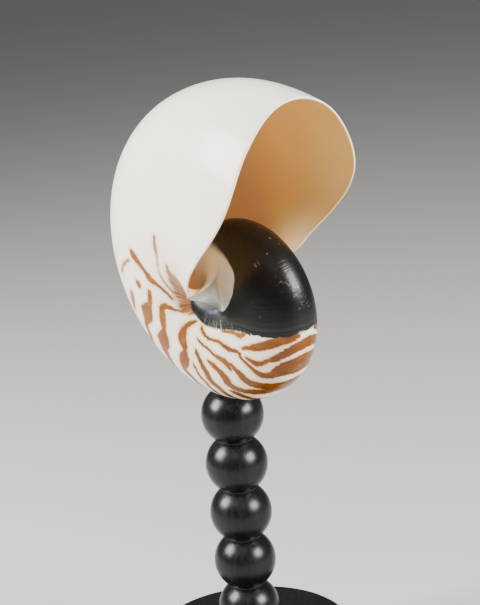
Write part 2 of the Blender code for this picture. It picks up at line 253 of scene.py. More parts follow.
# Brown smear round the navel: angle in degrees and the place where it starts
NAVEL_EDGE = ((-195, 0.90), (-180, 0.78), (-165, 0.68), (-150, 0.64), (-125, 0.66), (-95, 0.69), (-70, 0.655),
              (-50, 0.645), (-35, 0.68), (-22, 0.80), (-10, 0.90))
NAVEL_DEPTH = 0.10
# Scuffed spots on the film: angle in degrees, place, size in shares of the mouth radius
SCUFFS = ((-318, 0.05, 0.040), (-308, 0.02, 0.034), (-300, 0.0, 0.030), (-335, 0.18, 0.012),
          (-362, -0.02, 0.010), (-349, -0.01, 0.012))
# Patches of colour on the far flank's inside: place in shares of the mouth radius, and size
YELLOW_PATCH = ((0.185, -0.33, -0.112), 0.065)
PINK_PATCH = ((0.16, -0.33, -0.03), 0.10)


def curve_point(points, t):
    """Point and direction of a cubic curve at t from 0 to 1."""
    a, b, c, d = (np.array(point) for point in points)
    t = np.asarray(t, dtype=float)[..., None]
    s = 1.0 - t
    place = s**3 * a + 3 * s * s * t * b + 3 * s * t * t * c + t**3 * d
    way = 3 * s * s * (b - a) + 6 * s * t * (c - b) + 3 * t * t * (d - c)
    return place, way


def section(u):
    """Cross section at u from 0 (keel) to 1 (navel), and its inward normal."""
    u = np.asarray(u, dtype=float)
    outer, outer_way = curve_point(KEEL_TO_WIDEST, np.clip(2 * u, 0, 1))
    inner, inner_way = curve_point(WIDEST_TO_NAVEL, np.clip(2 * u - 1, 0, 0.999))
    first_half = (u < 0.5)[..., None]
    place = np.where(first_half, outer, inner)
    way = np.where(first_half, outer_way, inner_way)
    way = way / np.linalg.norm(way, axis=-1, keepdims=True)
    return place, np.stack([-way[..., 1], way[..., 0]], axis=-1)


SAMPLE_U = np.linspace(0.0, 1.0, 4001)
SAMPLE_RADIUS = section(SAMPLE_U)[0][:, 0]


def place_at_radius(radius):
    """The place u where the cross section is this far from the coil axis."""
    return np.interp(-np.asarray(radius), -SAMPLE_RADIUS, SAMPLE_U)


def lip_angle(u):
    """Angle of the lip at u, a smooth curve through the places given above."""
    places = np.array(LIP_PLACES)
    angles = np.radians(LIP_DEGREES)
    slopes = np.gradient(angles, places)
    slopes[0] = 0.0
    u = np.clip(u, 0.0, places[-1])
    k = np.clip(np.searchsorted(places, u, side="right") - 1, 0, len(places) - 2)
    width = places[k + 1] - places[k]
    t = (u - places[k]) / width
    rise = 3 * t**2 - 2 * t**3
    return (
        angles[k] * (1 - rise)
        + angles[k + 1] * rise
        + slopes[k] * width * t * (1 - t) ** 2
        + slopes[k + 1] * width * t**2 * (t - 1)
    )


def spiral(angle):
    return np.exp(GROWTH * angle)


def to_space(radius, height, angle):
    return np.stack([radius * np.cos(angle), height, radius * np.sin(angle)], axis=-1)


PLUG_ANGLE = float(lip_angle(np.array(LIP_PLACES[-1])))


def callus_height(radius, angle):
    """How far the callus stands over the flank, and fades to the front and the back."""
    at_plug = section(place_at_radius(PLUG_RADIUS / spiral(angle)))[0][..., 1] * spiral(angle)
    ahead = np.clip((angle - PLUG_ANGLE + TURN) / CALLUS_RUN, 0.0, 1.0)
    lip_side = np.clip((angle - PLUG_ANGLE) / CALLUS_RUN + 1.0, 0.0, 1.0)
    fade = (1 - ahead) ** 2 * (1 + 2 * ahead) + lip_side**3
    behind = np.maximum(PLUG_ANGLE - TURN - angle, 0.0)
    reach = np.maximum(radius - PLUG_RADIUS, 0.0)
    spread = CALLUS_SPREAD + CALLUS_WIDENING * ahead * (1 - lip_side)
    spread = spread + CALLUS_SWELL * np.minimum(behind / CALLUS_FADE, 1.0)
    return (PLUG_HEIGHT - at_plug) * fade * np.exp(-reach / spread - behind / CALLUS_FADE)


def outer_grid(rows, columns):
    """The outside, a whole turn back from the lip: row 0 is under the mouth."""
    share = np.arange(rows + 1)[:, None] / rows
    across = 1.0 - (1.0 - np.arange(columns + 1)[None, :] / columns) ** NAVEL_CROWDING
    base_angle = -TURN * (1.0 - share)
    ring_angle = (base_angle + PLUG_ANGLE) * np.ones_like(across)
    ring_place = place_at_radius(PLUG_RADIUS / spiral(ring_angle))
    u = ring_place * across
    # The lip's own line fades out over the turn
    lead = PLUG_ANGLE * (1.0 - share) + lip_angle(u * LIP_PLACES[-1] / ring_place) * share
    angle = base_angle + lead
    u = np.where(across < 1.0, u, place_at_radius(PLUG_RADIUS / spiral(angle)))
    place = section(u)[0]
    size = spiral(angle)
    radius = place[..., 0] * size
    height = place[..., 1] * size + callus_height(radius, angle) * across**CALLUS_EASE
    height[:, 0] = 0.0
    points = to_space(radius, height, angle)
    points[0, -1] = points[-1, -1] = to_space(PLUG_RADIUS, PLUG_HEIGHT, PLUG_ANGLE)
    return points, u, lead, angle


def chamber_grid(outside, u, lead, depth, wall, corner_columns):
    """The chamber's inside, half a loop for each row, from the lip to the septum.

    A loop runs from the keel of the outer wall along the flank, round the
    umbilical corner and back along the whorl below to that whorl's keel.
    Depth and wall hold one number for each row.
    """
    columns = outside.shape[1] - 1
    side = columns - corner_columns
    depth = depth[:, None]
    wall = wall[:, None]
    flank_u = place_at_radius(CORNER_FROM) * np.arange(side + 1)[None, :] / side
    flank_lead = lead[-1][None, : side + 1] + 0 * depth
    place, inward = section(flank_u + 0 * depth)
    shallow_place, shallow_inward = section(u[-1][None, : side + 1] + 0 * depth)
    blend = np.clip(depth / CORNER_BLEND, 0.0, 1.0)
    blend = blend * blend * (3 - 2 * blend)
    size = spiral(flank_lead - depth)
    deep = place * size[..., None] + inward * (wall / MOUTH_RADIUS)[..., None]
    shallow = shallow_place * size[..., None]
    shallow = shallow + shallow_inward * (wall / MOUTH_RADIUS)[..., None]
    flank = shallow * (1 - blend[..., None]) + deep * blend[..., None]
    flank[:, 0, 1] = 0.0
    flank = to_space(flank[..., 0], flank[..., 1], flank_lead - depth)
    # Whorl below
    below = np.maximum(depth, FLOOR_STEP * (1 + np.arange(len(depth)))[:, None])
    floor_angle = PLUG_ANGLE - TURN - below
    floor_size = spiral(floor_angle)
    floor_u = place_at_radius(CORNER_TO) * np.arange(side, -1, -1)[None, :] / side
    floor_u = floor_u * blend + u[0][None, side::-1] * (1 - blend)
    floor_place = section(floor_u)[0]
    floor_radius = floor_place[..., 0] * floor_size
    floor_height = floor_place[..., 1] * floor_size + callus_height(floor_radius, floor_angle)
    floor_height[:, -1] = 0.0
    floor = to_space(floor_radius, floor_height, floor_angle)
    # Corner between them
    steps = 2 * corner_columns
    t = (np.arange(1, steps) / steps)[None, :]
    corner_angle = PLUG_ANGLE - below
    start = np.stack([np.hypot(flank[:, -1, 0], flank[:, -1, 2]), flank[:, -1, 1]], axis=-1)
    start_angle = flank_lead[:, -1:] - depth
    finish = np.stack([floor_radius[:, 0], floor_height[:, 0]], axis=-1)
    shrink = spiral(corner_angle)
    handles = np.array(CORNER_HANDLES)[None] * shrink[..., None]
    crest = np.array([[PLUG_RADIUS, PLUG_HEIGHT - CREST_DROP]]) * shrink
    top = crest * (1 - blend) + handles[:, 0] * blend
    foot = crest * (1 - blend) + handles[:, 1] * blend
    weights = [(1 - t) ** 3, 3 * (1 - t) ** 2 * t, 3 * (1 - t) * t**2, t**3]
    corner = sum(
        weight[..., None] * point[:, None, :]
        for weight, point in zip(weights, (start, top, foot, finish))
    )
    turn = start_angle * (1 - t) ** 2 + corner_angle * (1 - (1 - t) ** 2)
    corner = to_space(corner[..., 0], corner[..., 1], turn)
    points = np.concatenate([flank, corner, floor], axis=1)
    return points, floor_angle, floor_u


def chamber_depths(rows, lip_rows):
    """Depth behind the lip and wall thickness of each row, with a rounded lip edge."""
    turn = np.linspace(0.0, math.pi, lip_rows + 2)[1:]
    round_depth = -np.sin(turn) * 0.5 * LIP_WALL / MOUTH_RADIUS
    round_wall = (1 - np.cos(turn)) * 0.5 * LIP_WALL
    share = (np.arange(1, rows + 1) / rows) ** LIP_CROWDING
    depth = CHAMBER_ANGLE * share
    wall = LIP_WALL + (DEEP_WALL - LIP_WALL) * np.minimum(depth / WALL_RUN, 1.0)
    return np.concatenate([round_depth, depth]), np.concatenate([round_wall, wall])


def septum_grid(loop, steps):
    """Hollow wall across the end of the chamber, from its last half loop."""
    half = (len(loop) - 1) // 2
    near = loop[: half + 1, None, :]
    far = loop[::-1][: half + 1, None, :]
    t = np.linspace(0.0, 1.0, steps + 1)[None, :, None]
    grid = near * (1 - t) + far * t
    across = np.arange(half + 1)[:, None] / half
    back = -SEPTUM_DEPTH * 4.0 * t[..., 0] * (1 - t[..., 0]) * (1 - across**2)
    x, y, z = np.moveaxis(grid, -1, 0) * spiral(back)
    return np.stack(
        [x * np.cos(back) - z * np.sin(back), y, x * np.sin(back) + z * np.cos(back)],
        axis=-1,
    )


def surface_point(angle, u):
    """Point of the outside at an angle and a signed place, in shares of the mouth radius."""
    side = np.sign(u) + (u == 0)
    place = section(np.abs(u))[0]
    size = spiral(angle)
    radius = place[..., 0] * size
    height = place[..., 1] * size + callus_height(radius, angle)
    height = np.where(np.abs(u) < KEEL_PLACE, place[..., 1] * size, height)
    return to_space(radius, height * side, angle)


def shell_in_place():
    place = Matrix.Translation(COIL_CENTRE)
    return place @ SHELL_TURN.to_matrix().to_4x4() @ Matrix.Scale(MOUTH_RADIUS, 4)


def camera_axes():
    """The camera's directions to the right, up and forward."""
    forward = Vector((0.0, math.cos(CAMERA_TIP), -math.sin(CAMERA_TIP)))
    flat_up = Vector((0.0, math.sin(CAMERA_TIP), math.cos(CAMERA_TIP)))
    across = Vector((1.0, 0.0, 0.0))
    right = math.cos(CAMERA_ROLL) * across - math.sin(CAMERA_ROLL) * flat_up
    up = math.sin(CAMERA_ROLL) * across + math.cos(CAMERA_ROLL) * flat_up
    return right, up, forward


def in_picture(angle, u):
    """Where the camera sees points of the outside: pixels across and down, and how far away."""
    place = np.array(shell_in_place())
    points = surface_point(angle, u) @ place[:3, :3].T + place[:3, 3]
    right, up, far = ((points - np.array(CAMERA_PLACE)) @ np.array(camera_axes()).T).T
    scale = CAMERA_LENS / SENSOR_WIDTH * PICTURE_HEIGHT
    across = PICTURE_WIDTH / 2 + scale * right / far
    down = PICTURE_HEIGHT / 2 - scale * up / far
    return np.stack([across, down, far], axis=-1)


def slopes(shape, angle, u):
    """How what a function gives changes with the angle and with the place."""
    here = shape(angle, u)
    by_angle = (shape(angle + SMALL_STEP, u) - here) / SMALL_STEP
    by_place = (shape(angle, u + SMALL_STEP) - here) / SMALL_STEP
    return np.stack([by_angle, by_place], axis=-1)


class NearSide:
    """The shell's near side as the camera sees it, to find what lies behind a pixel."""

    def __init__(self):
        angle, u = (values.ravel() for values in np.meshgrid(SEARCH_ANGLES, SEARCH_PLACES))
        bare = (section(u)[0][:, 0] * spiral(angle) > PLUG_RADIUS) & (angle < lip_angle(u))
        self.angle = angle[bare]
        self.u = u[bare]
        self.seen = in_picture(self.angle, self.u)

    def places(self, pixels):
        """Angle and place behind each pixel, from the nearest grid point that is in front."""
        start = []
        for pixel in pixels:
            gap = np.hypot(*(self.seen[:, :2] - pixel).T)
            close = np.nonzero(gap < SEARCH_REACH)[0]
            far = self.seen[close, 2]
            front = close[far < far.min() + SEARCH_DEPTH]
            start.append(front[np.argmin(gap[front])])
        angle = self.angle[start]
        u = self.u[start]
        for _ in range(SEARCH_STEPS):
            missing = pixels - in_picture(angle, u)[:, :2]
            step = np.linalg.solve(slopes(in_picture, angle, u)[:, :2], missing[..., None])[..., 0]
            step = np.clip(step, -LONGEST_STEP, LONGEST_STEP)
            angle = angle + step[:, 0]
            u = np.clip(u + step[:, 1], 0.0, LIP_PLACES[-1])
        return angle, u

    def mark(self, seen, end):
        """Angle, place and width in millimetres of a mark's points, seen and hidden."""
        end = np.array(end, dtype=float).reshape(-1, 3)
        if not seen:
            return end
        pixels, wide = np.split(np.array(seen, dtype=float), [2], axis=1)
        angle, u = self.places(pixels)
        way = np.gradient(pixels, axis=0)
        way = way / np.linalg.norm(way, axis=1, keepdims=True)
        beside = np.stack([-way[:, 1], way[:, 0]], axis=1)[..., None]
        step = np.linalg.solve(slopes(in_picture, angle, u)[:, :2], beside)
        pixel = np.linalg.norm((slopes(surface_point, angle, u) @ step)[..., 0], axis=1)
        width = wide[:, 0] * np.minimum(pixel * MOUTH_RADIUS / MM, WIDEST_PIXEL)
        return np.concatenate([np.stack([np.degrees(angle), u, width], axis=1), end])

    def edge(self, start, seen, end):
        """Angle and place of an edge's points: its start, what is seen of it and its end."""
        angle, u = self.places(np.array(seen, dtype=float))
        return np.concatenate([start, np.stack([np.degrees(angle), u], axis=1), end])


def smooth_line(points, steps=6):
    """Points along a smooth line through the given ones, straight past its ends."""
    points = np.array(points, dtype=float)
    padded = np.concatenate([2 * points[:1] - points[1:2], points, 2 * points[-1:] - points[-2:-1]])
    line = []
    for a, b, c, d in zip(padded, padded[1:], padded[2:], padded[3:]):
        for t in np.arange(steps) / steps:
            line.append(
                0.5 * (2 * b + (c - a) * t + (2 * a - 5 * b + 4 * c - d) * t**2
                       + (3 * b - a - 3 * c + d) * t**3)
            )
    line.append(points[-1])
    return np.array(line)


def distance_to_line(points, line, half_widths=None):
    """Distance from each point to a line, less the line's half width there."""
    best = np.full(len(points), 1e9)
    if half_widths is None:
        half_widths = np.zeros(len(line))
    for a, b, wide_a, wide_b in zip(line, line[1:], half_widths, half_widths[1:]):
        way = b - a
        length = float(way @ way) + 1e-12
        t = np.clip(((points - a) @ way) / length, 0.0, 1.0)
        gap = points - a - t[:, None] * way
        reach = np.sqrt((gap * gap).sum(axis=1)) - (wide_a + (wide_b - wide_a) * t)
        best = np.minimum(best, reach)
    return best


def mark_lines(near_side):
    """Every mark on both sides: points, half widths in shares, strength, tone and blush."""
    lines = []
    for number, (seen, end, strength, tone, blush) in enumerate(MARKS):
        line = smooth_line(near_side.mark(seen, end))
        shift = FAR_SIDE_SHIFT[number % len(FAR_SIDE_SHIFT)]
        for side in (1.0, -1.0):
            angle = np.radians(line[:, 0] + (shift if side < 0 else 0.0) * np.minimum(line[:, 1] * 5, 1))
            points = surface_point(angle, line[:, 1] * side)
            half = np.maximum(line[:, 2], FINEST_MARK) * 0.5 * MM / MOUTH_RADIUS
            lines.append((points, half, strength, tone, blush))
    return lines


def edge_distance(points, angle, place, edge, deep=PAST_NAVEL):
    """Distance in millimetres to an edge line, positive where the place is further in."""
    edge = np.array(edge, dtype=float)
    order = np.argsort(edge[:, 0])
    here = np.interp(np.degrees(angle), edge[order, 0], edge[order, 1], left=deep, right=PAST_NAVEL)
    inner = np.abs(place) > here
    line = smooth_line(edge, 4)
    gap = np.full(len(points), 1e9)
    for side in (1.0, -1.0):
        on_shell = surface_point(np.radians(line[:, 0]), line[:, 1] * side)
        gap = np.minimum(gap, distance_to_line(points, on_shell))
    return np.where(inner, gap, -gap) * MOUTH_RADIUS / MM


class ShellHalf:
    """Grids of the side y >= 0, gathered as points, faces and marks on the points."""

    def __init__(self):
        self.points = []
        self.faces = []
        self.angle = []
        self.place = []
        self.growth = []
        self.kind = []
        self.fold = []
        self.glow = []

    def add(self, grid, angle, place, growth, kind, fold=0.0, glow=0.0):
        rows, columns = grid.shape[:2]
        numbers = len(self.points) + np.arange(rows * columns).reshape(rows, columns)
        self.points.extend(grid.reshape(-1, 3))
        for target, values in (
            (self.angle, angle),
            (self.place, place),
            (self.growth, growth),
            (self.kind, kind),
            (self.fold, fold),
            (self.glow, glow),
        ):
            target.extend(np.broadcast_to(values, (rows, columns)).ravel())
        first = numbers[:-1, :-1].ravel()
        second = numbers[:-1, 1:].ravel()
        third = numbers[1:, 1:].ravel()
        fourth = numbers[1:, :-1].ravel()
        self.faces.extend(np.stack([first, second, third, fourth], axis=1).tolist())


# Fold where the chamber's wall meets the callus, with a painted ochre glow along it that stands in for warm
# light, in columns and degrees behind the lip
FOLD_COLUMNS = 7.0
FOLD_FROM = 6.0
FOLD_RUN = 10.0
FOLD_TO = 90.0
GLOW_TO = 62.0
GLOW_RUN = 32.0
OUTSIDE = 0.0
CHAMBER_WALL = 1.0
CHAMBER_FLOOR = 2.0


def shell_half():
    half = ShellHalf()
    outside, u, lead, angle = outer_grid(ROWS, COLUMNS)
    share = np.arange(ROWS + 1)[:, None] / ROWS
    half.add(outside, angle, u, share, OUTSIDE)
    depth, wall = chamber_depths(CHAMBER_ROWS, LIP_ROWS)
    inside, floor_angle, floor_u = chamber_grid(outside, u, lead, depth, wall, CORNER_COLUMNS)
    lip = np.concatenate([outside[-1], outside[0][-2::-1]])
    chamber = np.concatenate([lip[None], inside])
    count = chamber.shape[1]
    side = COLUMNS - CORNER_COLUMNS
    floor_columns = floor_u.shape[1]
    chamber_angle = np.full(chamber.shape[:2], 0.0)
    chamber_place = np.full(chamber.shape[:2], 0.0)
    kind = np.full(chamber.shape[:2], CHAMBER_WALL)
    # The lip's rim is white to its middle
    kind[: LIP_ROWS // 2 + 1] = OUTSIDE
    chamber_angle[:, : side + 1] = -np.concatenate([[0.0], depth])[:, None]
    chamber_place[:, : side + 1] = u[-1][None, : side + 1]
    chamber_angle[0, -floor_columns:] = angle[0, side::-1]
    chamber_place[0, -floor_columns:] = u[0, side::-1]
    chamber_angle[1:, -floor_columns:] = floor_angle
    chamber_place[1:, -floor_columns:] = floor_u
    corner = slice(side + 1, count - floor_columns)
    t = np.linspace(0, 1, corner.stop - corner.start + 2)[None, 1:-1]
    chamber_angle[:, corner] = chamber_angle[:, -floor_columns : -floor_columns + 1]
    before = chamber_place[:, side : side + 1]
    after = chamber_place[:, -floor_columns : -floor_columns + 1]
    top = LIP_PLACES[-1]
    chamber_place[:, corner] = np.where(
        t < 0.5, before + (top - before) * 2 * t, top + (after - top) * (2 * t - 1)
    )
    kind[:, corner] = CHAMBER_WALL + t
    kind[:, -floor_columns:] = CHAMBER_FLOOR
    behind = np.degrees(np.concatenate([[0.0], depth]))[:, None]
    fold = np.zeros(chamber.shape[:2])
    fold[:, corner] = np.clip(3.0 * t, 0.0, 1.0)
    fold[:, -floor_columns:] = np.exp(-np.arange(floor_columns) / FOLD_COLUMNS)[None, :]
    fold = fold * np.clip((FOLD_TO - behind) / FOLD_RUN, 0.0, 1.0)
    glow = fold * np.clip((behind - FOLD_FROM) / FOLD_RUN, 0.0, 1.0)
    glow = glow * np.clip((GLOW_TO - behind) / GLOW_RUN, 0.0, 1.0)
    growth = 1.0 - behind / 360.0
    half.add(chamber, chamber_angle, chamber_place, growth, kind, fold, glow)
    septum = septum_grid(inside[-1], SEPTUM_STEPS)
    half.add(septum, -CHAMBER_ANGLE, 0.5, 1.0 - CHAMBER_ANGLE / TURN, CHAMBER_WALL)
    ring = outside[:, -1]
    middle = np.array([0.0, PLUG_MIDDLE, 0.0])
    inward = (np.arange(PLUG_RINGS + 1) / PLUG_RINGS)[None, :, None]
    disc = ring[:, None, :] * (1 - inward) + middle * inward
    half.add(disc, angle[:, -1:], u[:, -1:], share, OUTSIDE)
    return half


def shell_fields(points, angle, place, kind, fold, glow):
    """Marks that the finish reads, each in millimetres or from 0 to 1."""
    floor = kind > CHAMBER_WALL + 0.5
    outside = kind == OUTSIDE
    open_whorl = outside | floor
    near_side = NearSide()
    stripe = np.full(len(points), NO_MARK)
    strength = np.zeros(len(points))
    tone = np.zeros(len(points))
    blush = np.zeros(len(points))
    marked = outside & (angle < MARKS_FROM)
    spots = points[marked]
    nearest = np.full(len(spots), NO_MARK)
    found = [np.zeros(len(spots)) for _ in range(3)]
    for line, half, strong, dark, mauve in mark_lines(near_side):
        low = line.min(axis=0) - MARK_REACH
        high = line.max(axis=0) + MARK_REACH
        close = np.nonzero(((spots > low) & (spots < high)).all(axis=1))[0]
        inside = -distance_to_line(spots[close], line, half) * MOUTH_RADIUS / MM
        better = inside > nearest[close]
        chosen = close[better]
        nearest[chosen] = inside[better]
        for target, value in zip(found, (strong, dark, mauve)):
            target[chosen] = value
    stripe[marked] = nearest
    for target, values in zip((strength, tone, blush), found):
        target[marked] = values
    film_edge = near_side.edge(FILM_START, FILM_SEEN, FILM_END)
    pearl_edge = near_side.edge(PEARL_START, PEARL_SEEN, PEARL_END)
    film = np.full(len(points), NO_EDGE)
    pearl = np.full(len(points), NO_EDGE)
    bare = open_whorl & (angle < FILM_FROM)
    film[bare] = edge_distance(points[bare], angle[bare], place[bare], film_edge)
    covered = open_whorl & (angle <= math.radians(FILM_END[-1][0]))
    film[covered] = np.abs(film[covered])
    pearl[bare] = edge_distance(points[bare], angle[bare], place[bare], pearl_edge, deep=-1.0)
    pearl[(kind > OUTSIDE) & (kind < CHAMBER_FLOOR)] = -NO_EDGE
    rib = np.full(len(points), NO_EDGE)
    rib[bare] = edge_distance(points[bare], angle[bare], place[bare], PEARL_RIB)
    veil = np.interp(np.degrees(angle), *np.array(VEIL, dtype=float).T)
    chamber = np.clip(kind, 0.0, 1.0) * (1.0 - floor) * (1.0 - fold)
    patches = [
        chamber * np.exp(-(((points - np.array(middle)) ** 2).sum(axis=1)) / size**2)
        for middle, size in (YELLOW_PATCH, PINK_PATCH)
    ]
    scuffed = np.zeros(len(points))
    for spot_angle, spot_place, size in SCUFFS:
        middle = surface_point(np.radians([spot_angle]), np.array([spot_place]))[0]
        scuffed = np.maximum(scuffed, np.exp(-(((points - middle) ** 2).sum(axis=1)) / size**2))
    navel_edge = np.interp(np.degrees(angle), *np.array(NAVEL_EDGE, dtype=float).T)
    navel = outside * np.clip((np.abs(place) - navel_edge) / NAVEL_DEPTH, 0.0, 1.0)
    return {
        "stripe": stripe,
        "stripe_strength": strength,
        "stripe_tone": tone,
        "stripe_blush": blush,
        "film": film,
        "pearl": pearl,
        "navel": navel,
        "rib": rib,
        "veil": veil,
        "yellow": patches[0],
        "pink": patches[1],
        "scuffed": scuffed,
        "chamber": chamber,
        "glow": glow,
        "angle": np.degrees(angle),
        "place": place,
    }


def build_shell():
    half = shell_half()
    points = np.array(half.points)
    count = len(points)
    mirror = np.array([1.0, -1.0, 1.0])
    angle = np.array(half.angle)
    place = np.array(half.place)
    kind = np.array(half.kind)
    growth = np.array(half.growth)
    folds = (np.array(half.fold), np.array(half.glow))
    fields = shell_fields(points, angle, place, kind, *folds)
    far_fields = shell_fields(points * mirror, angle, -place, kind, *folds)
    fields["growth"] = growth
    far_fields["growth"] = growth
    mesh = bpy.data.meshes.new("shell_skin")
    near_faces = np.array(half.faces)
    faces = np.concatenate([near_faces, near_faces[:, ::-1] + count])
    mesh.from_pydata(np.concatenate([points, points * mirror]).tolist(), [], faces.tolist())
    for name, values in fields.items():
        layer = mesh.attributes.new(name, "FLOAT", "POINT")
        layer.data.foreach_set("value", np.concatenate([values, far_fields[name]]))
    edit = bmesh.new()
    edit.from_mesh(mesh)
    bmesh.ops.remove_doubles(edit, verts=edit.verts, dist=SHARE_TOUCH)
    bmesh.ops.dissolve_degenerate(edit, edges=edit.edges, dist=SHARE_TOUCH)
    bmesh.ops.recalc_face_normals(edit, faces=edit.faces)
    edit.transform(shell_in_place())
    for face in edit.faces:
        face.smooth = True
    edit.to_mesh(mesh)
    edit.free()
    shell = new_piece("shell_skin", mesh)
    mesh.materials.append(shell_finish())
    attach(shell, "root")
    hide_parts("shell")
    return shell


def new_piece(name, mesh):
    thing = bpy.data.objects.new(name, mesh)
    bpy.context.scene.collection.objects.link(thing)
    return thing


class Finish:
    """A material and its nodes, each added by what it does."""

    def __init__(self, name):
        self.material = bpy.data.materials.new(name)
        self.material.use_nodes = True
        self.tree = self.material.node_tree
        self.tree.nodes.clear()
        output = self.add("ShaderNodeOutputMaterial")
        self.shader = self.add("ShaderNodeBsdfPrincipled")
        self.tree.links.new(self.shader.outputs[0], output.inputs["Surface"])

    def add(self, kind, **settings):
        node = self.tree.nodes.new(kind)
        for name, value in settings.items():
            setattr(node, name, value)
        return node

    def feed(self, socket, value):
        if isinstance(value, bpy.types.NodeSocket):
            self.tree.links.new(value, socket)
        elif isinstance(value, tuple) and len(value) == 3 and socket.type == "RGBA":
            socket.default_value = (*value, 1.0)
        else:
            socket.default_value = value

    def set(self, name, value):
        self.feed(self.shader.inputs[name], value)

    def mark(self, name):
        return self.add("ShaderNodeAttribute", attribute_name=name).outputs["Fac"]

    def where(self):
        return self.add("ShaderNodeTexCoord").outputs["Object"]

    def math(self, operation, *values, clamp=False):
        node = self.add("ShaderNodeMath", operation=operation, use_clamp=clamp)
        for socket, value in zip(node.inputs, values):
            self.feed(socket, value)
        return node.outputs[0]

    def rise(self, value, low, high):
        """0 at low, 1 at high, smooth between."""
        node = self.add("ShaderNodeMapRange", interpolation_type="SMOOTHSTEP")
        self.feed(node.inputs["Value"], value)
        self.feed(node.inputs["From Min"], low)
        self.feed(node.inputs["From Max"], high)
        return node.outputs["Result"]

    def span(self, value, low, high, first, last):
        """A straight change from first at low to last at high."""
        node = self.add("ShaderNodeMapRange")
        names = ("Value", "From Min", "From Max", "To Min", "To Max")
        for name, number in zip(names, (value, low, high, first, last)):
            self.feed(node.inputs[name], number)
        return node.outputs["Result"]

    def colours(self, share, first, second):
        node = self.add("ShaderNodeMix", data_type="RGBA", clamp_factor=True)
        self.feed(node.inputs[0], share)
        self.feed(node.inputs[6], first)
        self.feed(node.inputs[7], second)
        return node.outputs[2]

    def numbers(self, share, first, second):
        node = self.add("ShaderNodeMix", data_type="FLOAT", clamp_factor=True)
        self.feed(node.inputs[0], share)
        self.feed(node.inputs[2], first)
        self.feed(node.inputs[3], second)
        return node.outputs[0]

    def vector(self, x, y, z):
        node = self.add("ShaderNodeCombineXYZ")
        for socket, value in zip(node.inputs, (x, y, z)):
            self.feed(socket, value)
        return node.outputs[0]

    def noise(self, where, scale, detail=2.0, roughness=0.5):
        node = self.add("ShaderNodeTexNoise")
        self.feed(node.inputs["Vector"], where)
        self.feed(node.inputs["Scale"], scale)
        self.feed(node.inputs["Detail"], detail)
        self.feed(node.inputs["Roughness"], roughness)
        return node.outputs[0]

    def specks(self, where, scale, randomness=1.0):
        """Distance to scattered points."""
        node = self.add("ShaderNodeTexVoronoi")
        self.feed(node.inputs["Vector"], where)
        self.feed(node.inputs["Scale"], scale)
        self.feed(node.inputs["Randomness"], randomness)
        return node.outputs["Distance"]

    def bump(self, height, distance, strength=1.0, under=None):
        node = self.add("ShaderNodeBump")
        self.feed(node.inputs["Height"], height)
        self.feed(node.inputs["Distance"], distance)
        self.feed(node.inputs["Strength"], strength)
        if under is not None:
            self.feed(node.inputs["Normal"], under)
        return node.outputs[0]


# How closely the patterns lie: along the growth, in cells for a whole turn
BROAD_LINES = 60.0
STREAK_LINES = 130.0
SEAM_LINES = 240.0
BRISTLE_LINES = 260.0
FINE_LINES = 420.0
# and in space, in cells for each metre
CREAM_CLOUDS = 14.0
CHAMBER_CLOUDS = 22.0
FILM_CLOUDS = 30.0
SEAM_CLOUDS = 40.0
PEARL_CLOUDS = 55.0
MAUVE_CLOUDS = 60.0
SCUFF_CLOUDS = 90.0
MOTTLE = 160.0
SPECKS = 300.0
SKIN_GRAIN = 500.0
SCRATCHES = 800.0
RAGGED_EDGE = 900.0

# Colours, as the shader reads them
CREAM = (0.93, 0.855, 0.745)
PALE_BLUSH = (0.88, 0.80, 0.73)
GROWTH_SHADE = (0.74, 0.64, 0.54)
STRIPE_BLEED = (0.86, 0.57, 0.31)
ORANGE = (0.20, 0.060, 0.0)
AMBER = (0.28, 0.100, 0.0)
UMBER = (0.105, 0.022, 0.0)
MAUVE = (0.14, 0.050, 0.024)
NAVEL_TAN = (0.34, 0.135, 0.038)
NAVEL_BROWN = (0.15, 0.042, 0.008)
FILM_BLACK = (0.003, 0.003, 0.0035)
FILM_BROWN = (0.008, 0.006, 0.0045)
FILM_GREY = (0.032, 0.031, 0.027)
BRISTLE_PALE = (0.42, 0.40, 0.34)
SPECK_PALE = (0.34, 0.34, 0.33)
PEARL_WARM = (0.58, 0.56, 0.52)
PEARL_BEIGE = (0.48, 0.47, 0.44)
# Painted shade: darker grey pearl on the plug side of the rib
PEARL_SHADE_GREY = (0.32, 0.31, 0.29)
RIB_CREAM = (0.95, 0.84, 0.62)
# Painted highlight: warm ochre glow along the fold
FOLD_GLOW_OCHRE = (0.95, 0.60, 0.20)
# Painted reflection: blue tint where the film thins over the pearl
VEIL_REFLECTION_BLUE = (0.045, 0.06, 0.115)
# Painted light: the chamber's tans stand in for warm light coming through the thin wall
CHAMBER_GLOW_TAN = (0.85, 0.515, 0.16)
CHAMBER_GLOW_PALE = (0.90, 0.575, 0.19)
# Painted shade: darker colour deep in the chamber
CHAMBER_DEEP_SHADE = (0.64, 0.41, 0.22)
CHAMBER_YELLOW = (0.78, 0.62, 0.17)
CHAMBER_PINK = (0.78, 0.54, 0.36)


